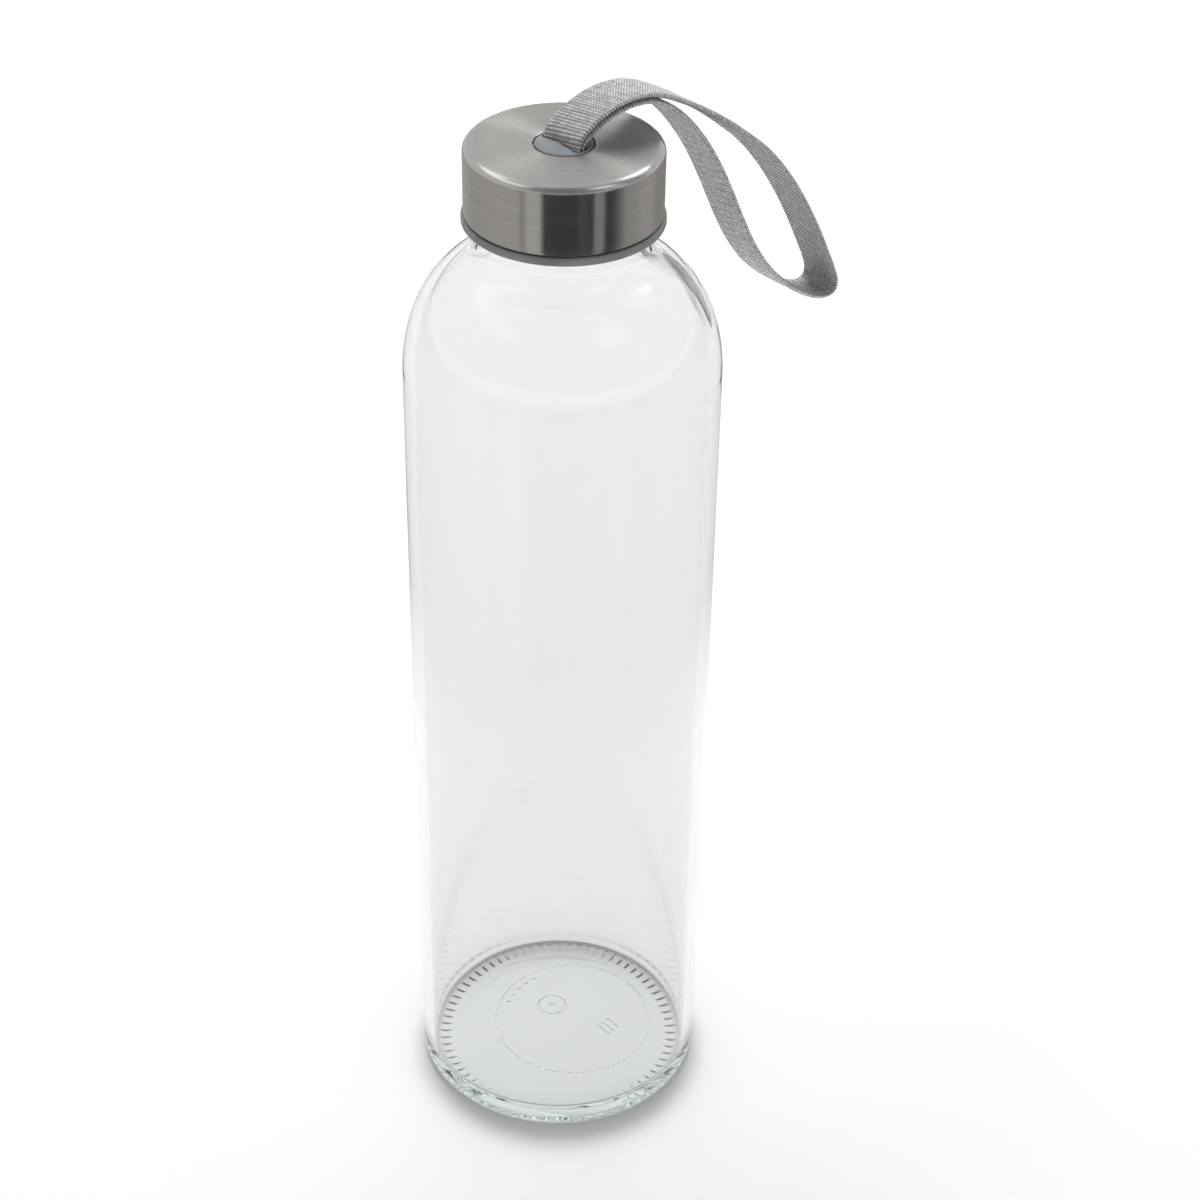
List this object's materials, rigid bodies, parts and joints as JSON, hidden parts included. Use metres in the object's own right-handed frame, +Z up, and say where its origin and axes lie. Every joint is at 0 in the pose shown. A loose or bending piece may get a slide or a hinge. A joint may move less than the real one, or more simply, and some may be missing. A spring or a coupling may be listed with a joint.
{
  "type": "glass water bottle",
  "caption": "Cylindrical clear glass drinking bottle with a threaded neck, a steel-covered screw cap and a webbing carrying loop on a swivelling button.",
  "frame": {"origin": "on the floor, under the centre of the bottle's base", "axes": "+Z up along the bottle's axis, +X towards the strap loop's far end, +Y along the button's slot"},
  "size_m": [0.11, 0.065, 0.2421],
  "materials": {
    "clear_glass": "clear, polished, with a faint green tint where it is thick",
    "silicone": "translucent white silicone, satin",
    "grey_plastic": "moulded mid-grey plastic, satin",
    "spun_steel": "spun on top, brushed round the side, rounded bright edge",
    "button_plastic": "moulded grey plastic, semi-gloss",
    "pin_steel": "plain drawn wire",
    "webbing": "light grey ribbed polyester webbing with a slight shine"
  },
  "bodies": {
    "bottle": {"glass_bottle": "clear_glass"},
    "seal": {"seal_ring": "silicone"},
    "cap": {"cap_liner": "grey_plastic", "cap_shell": "spun_steel"},
    "anchor": {"strap_button": "button_plastic", "strap_pin": "pin_steel", "strap_root": "webbing"},
    "strap": {"strap_loop": "webbing"}
  },
  "joints": [
    {"name": "cap_lift", "type": "slide", "parent": "bottle", "child": "seal", "axis": [0, 0, 1], "range_m": [0, 0.00412]},
    {"name": "cap_turn", "type": "hinge", "parent": "seal", "child": "cap", "pos_m": [0, 0, 0.2187], "axis": [0, 0, 1], "range_deg": [0, 330]},
    {"name": "strap_swivel", "type": "hinge", "parent": "cap", "child": "anchor", "pos_m": [0, 0, 0.235], "axis": [0, 0, 1], "continuous": true},
    {"name": "strap_flex", "type": "hinge", "parent": "anchor", "child": "strap", "pos_m": [0, 0, 0.23608], "axis": [0, -1, 0], "range_deg": [-6, 110], "stiffness_Nm_per_rad": 0.02, "springref_deg": 2.86}
  ],
  "couplings": [
    {"joint": "cap_turn", "follows": "cap_lift", "rad_per_m": 1396.3}
  ]
}
